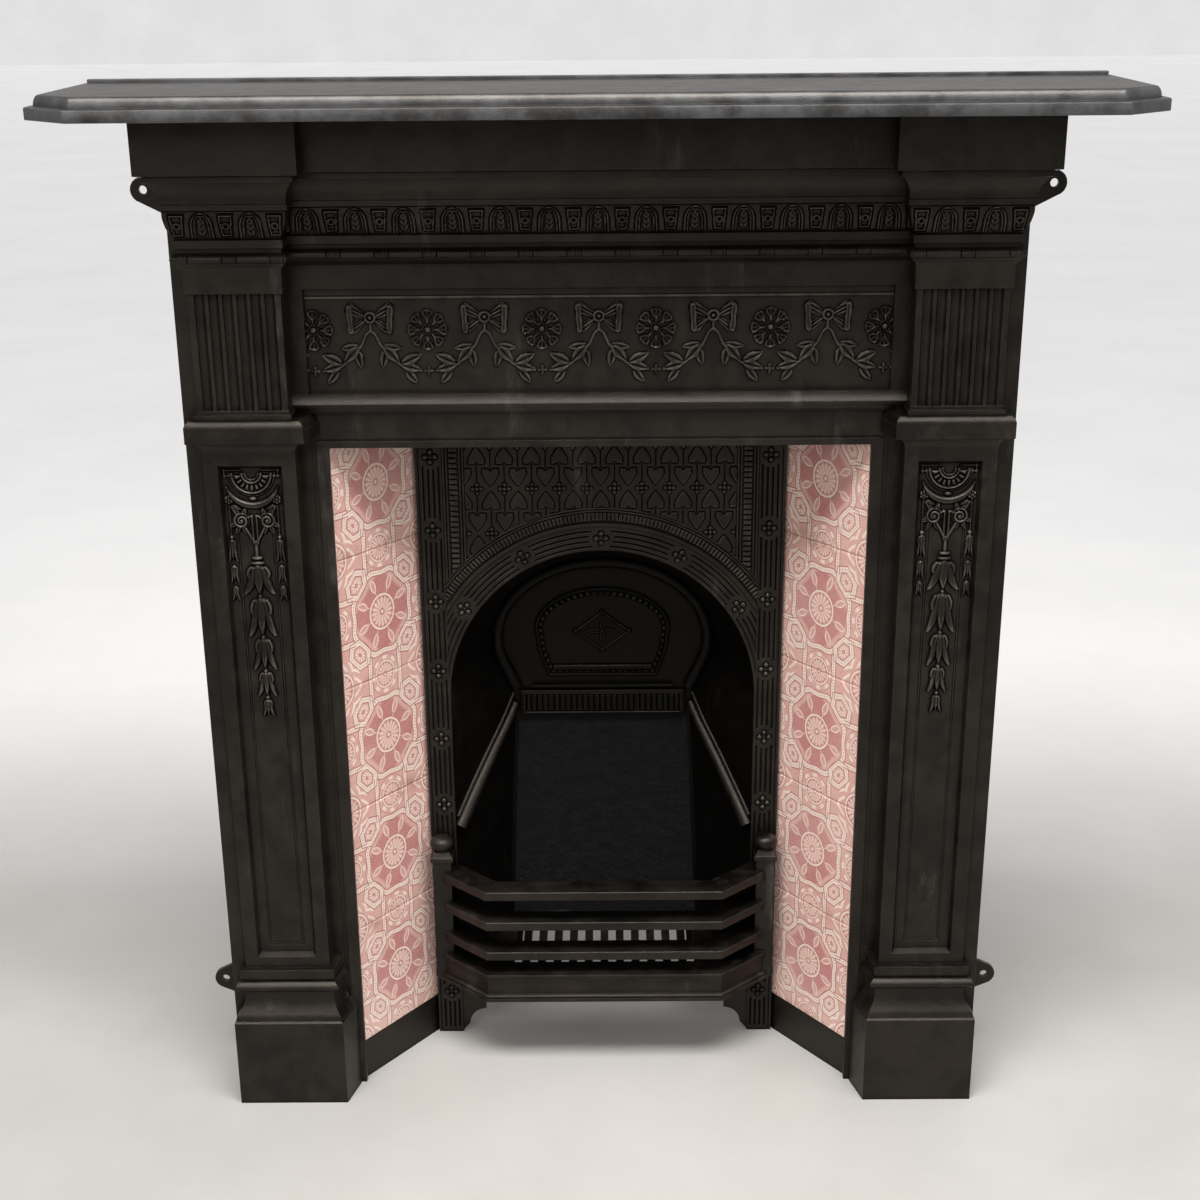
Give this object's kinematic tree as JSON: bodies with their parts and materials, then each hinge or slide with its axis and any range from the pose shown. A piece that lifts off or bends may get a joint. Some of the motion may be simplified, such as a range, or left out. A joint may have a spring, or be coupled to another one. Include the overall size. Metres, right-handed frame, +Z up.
{
  "type": "fireplace surround",
  "caption": "Cast-iron combination fireplace with moulded shelf, fluted pilasters, floral frieze, splayed patterned tiles, arched insert and barred grate.",
  "frame": {"origin": "middle of the whole object's footprint, on the floor", "axes": "+Z up, -Y towards the room, +X to the viewer's right"},
  "size_m": [1.096, 0.436, 1.169],
  "materials": {
    "black_iron": "stove-blacked, soft sheen, dust in the hollows",
    "polished_iron": "graphite-polished, lightly worn",
    "rose_tile": "transfer-printed, clear glazed",
    "firebrick": "sooted fireclay, matt"
  },
  "bodies": {
    "root": {"mantelshelf": "polished_iron", "surround": "black_iron", "insert_front": "black_iron", "fireback": "black_iron", "damper_flap": "black_iron", "front_bars": "black_iron", "bottom_grate": "black_iron", "tile_left_1": "rose_tile", "tile_left_2": "rose_tile", "tile_left_3": "rose_tile", "tile_left_4": "rose_tile", "tile_left_5": "rose_tile", "tile_right_1": "rose_tile", "tile_right_2": "rose_tile", "tile_right_3": "rose_tile", "tile_right_4": "rose_tile", "tile_right_5": "rose_tile", "firebrick": "firebrick"}
  },
  "joints": []
}
